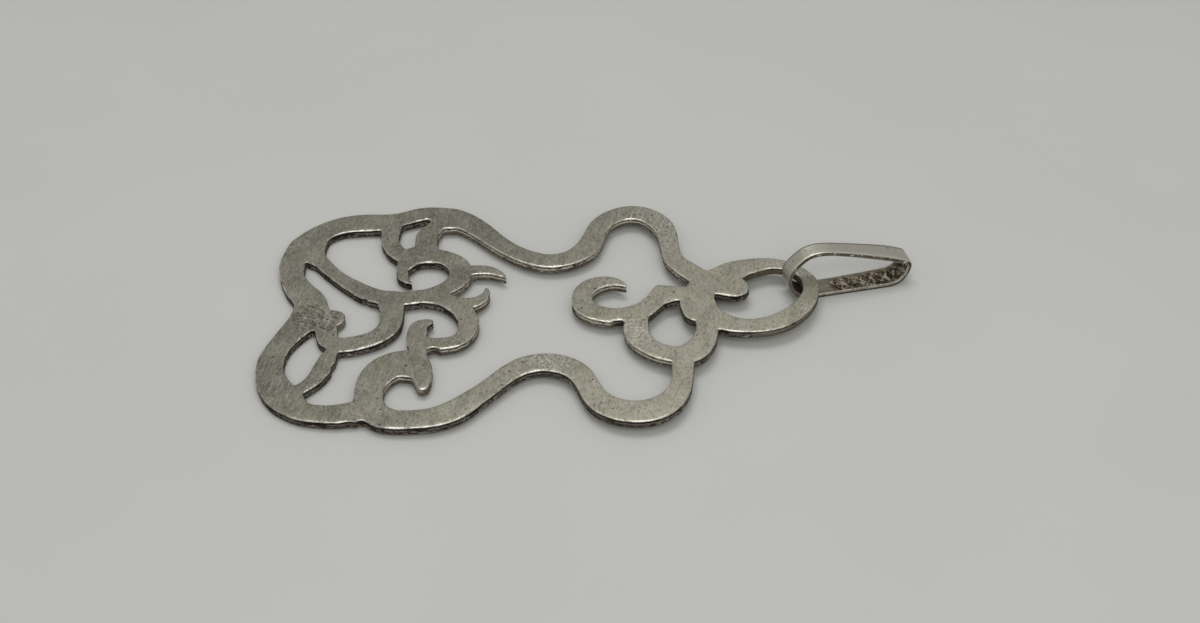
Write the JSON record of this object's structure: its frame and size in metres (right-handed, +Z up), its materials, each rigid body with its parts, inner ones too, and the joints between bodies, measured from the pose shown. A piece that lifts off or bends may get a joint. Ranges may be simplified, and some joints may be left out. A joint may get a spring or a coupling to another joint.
{
  "type": "pierced scroll pendant",
  "caption": "Flat pendant sawn from silver sheet into open scrollwork, with a bent strip bail hinged in the loop at one end for a chain.",
  "frame": {"origin": "centre of the bounding box, on the surface that the pendant lies on", "axes": "+X along the pendant towards the bail, +Y across the plate away from the viewer of the picture, +Z up"},
  "size_m": [0.0616, 0.0338, 0.0049],
  "materials": {
    "plate_silver": "tarnished silver, finely scratched",
    "bail_silver": "tarnished silver, rubbed bright on the rims"
  },
  "bodies": {
    "plate": {"plate": "plate_silver"},
    "bail": {"bail": "bail_silver"}
  },
  "joints": [
    {"name": "bail_swing", "type": "hinge", "parent": "plate", "child": "bail", "pos_m": [0.02074, 0.00402, 0.00148], "axis": [0.2334, -0.9724, 0], "range_deg": [0, 120]}
  ]
}
